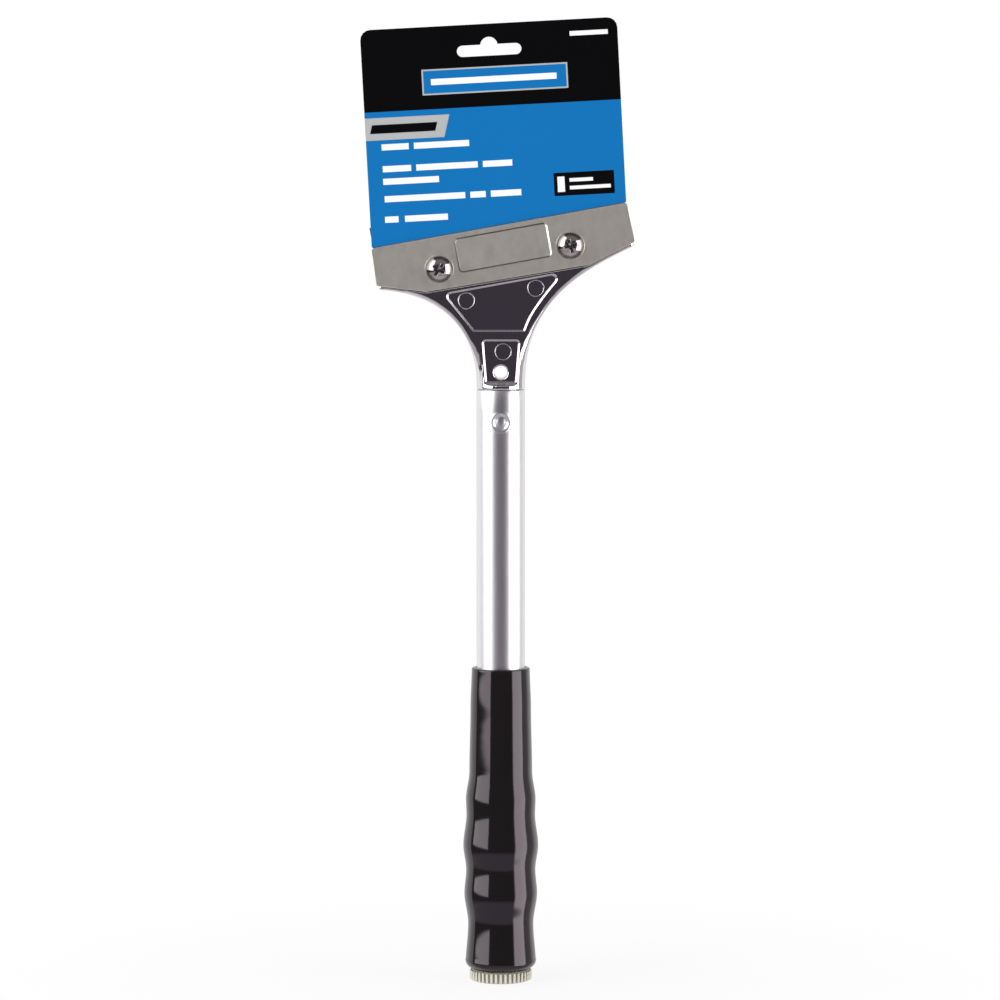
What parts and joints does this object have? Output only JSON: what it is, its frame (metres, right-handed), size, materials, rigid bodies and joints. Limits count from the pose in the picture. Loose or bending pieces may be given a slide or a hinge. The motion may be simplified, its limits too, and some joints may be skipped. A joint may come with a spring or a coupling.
{
  "type": "floor scraper",
  "caption": "Hand floor scraper: skewed cast head with a clamped razor blade, tube handle with ribbed grip that stores spare blades, and a blade card.",
  "frame": {"origin": "middle of the end cap's flat bottom, on the handle's axis", "axes": "+Z along the handle towards the head, -Y out of the clamp plate's face, +X to the right of someone who looks at the clamp plate"},
  "size_m": [0.1071, 0.0296, 0.3797],
  "materials": {
    "chrome_casting": "bright chrome on a die casting",
    "satin_plate": "satin nickel, warm grey",
    "chrome_screw": "bright chrome",
    "blade_steel": "ground spring steel",
    "printed_board": "laminated printed board, blue with a black top band",
    "aluminium_tube": "satin anodised",
    "black_vinyl": "glossy dipped vinyl",
    "ivory_plastic": "moulded ivory plastic"
  },
  "bodies": {
    "handle": {"head_casting": "chrome_casting", "handle_tube": "aluminium_tube", "grip_sleeve": "black_vinyl"},
    "clamp": {"clamp_plate": "satin_plate"},
    "left_screw": {"clamp_screw_left": "chrome_screw"},
    "right_screw": {"clamp_screw_right": "chrome_screw"},
    "blade": {"scraper_blade": "blade_steel"},
    "card": {"blade_card": "printed_board"},
    "spare_blades": {"spare_blade_1": "blade_steel", "spare_blade_2": "blade_steel", "spare_blade_3": "blade_steel", "spare_blade_4": "blade_steel"},
    "cap": {"end_cap": "ivory_plastic"}
  },
  "joints": [
    {"name": "clamp_lift", "type": "slide", "parent": "handle", "child": "clamp", "axis": [0, -1, 0], "range_m": [0, 0.0016]},
    {"name": "left_screw_turn", "type": "hinge", "parent": "clamp", "child": "left_screw", "pos_m": [-0.02406, -0.0077, 0.2818], "axis": [0, -1, 0], "range_deg": [0, 721.35]},
    {"name": "right_screw_turn", "type": "hinge", "parent": "clamp", "child": "right_screw", "pos_m": [0.02712, -0.0077, 0.291], "axis": [0, -1, 0], "range_deg": [0, 721.35]},
    {"name": "blade_slide", "type": "slide", "parent": "handle", "child": "blade", "axis": [-0.1771, 0, 0.9842], "range_m": [0, 0.02]},
    {"name": "card_pull", "type": "slide", "parent": "blade", "child": "card", "axis": [-0.1771, 0, 0.9842], "range_m": [0, 0.05]},
    {"name": "cap_pull", "type": "slide", "parent": "handle", "child": "spare_blades", "axis": [0, 0, -1], "range_m": [0, 0.125]},
    {"name": "cap_twist", "type": "hinge", "parent": "spare_blades", "child": "cap", "pos_m": [0, 0, 0.00225], "axis": [0, 0, -1], "continuous": true}
  ],
  "couplings": [
    {"joint": "left_screw_turn", "follows": "clamp_lift", "rad_per_m": 7854},
    {"joint": "right_screw_turn", "follows": "clamp_lift", "rad_per_m": 7854}
  ]
}
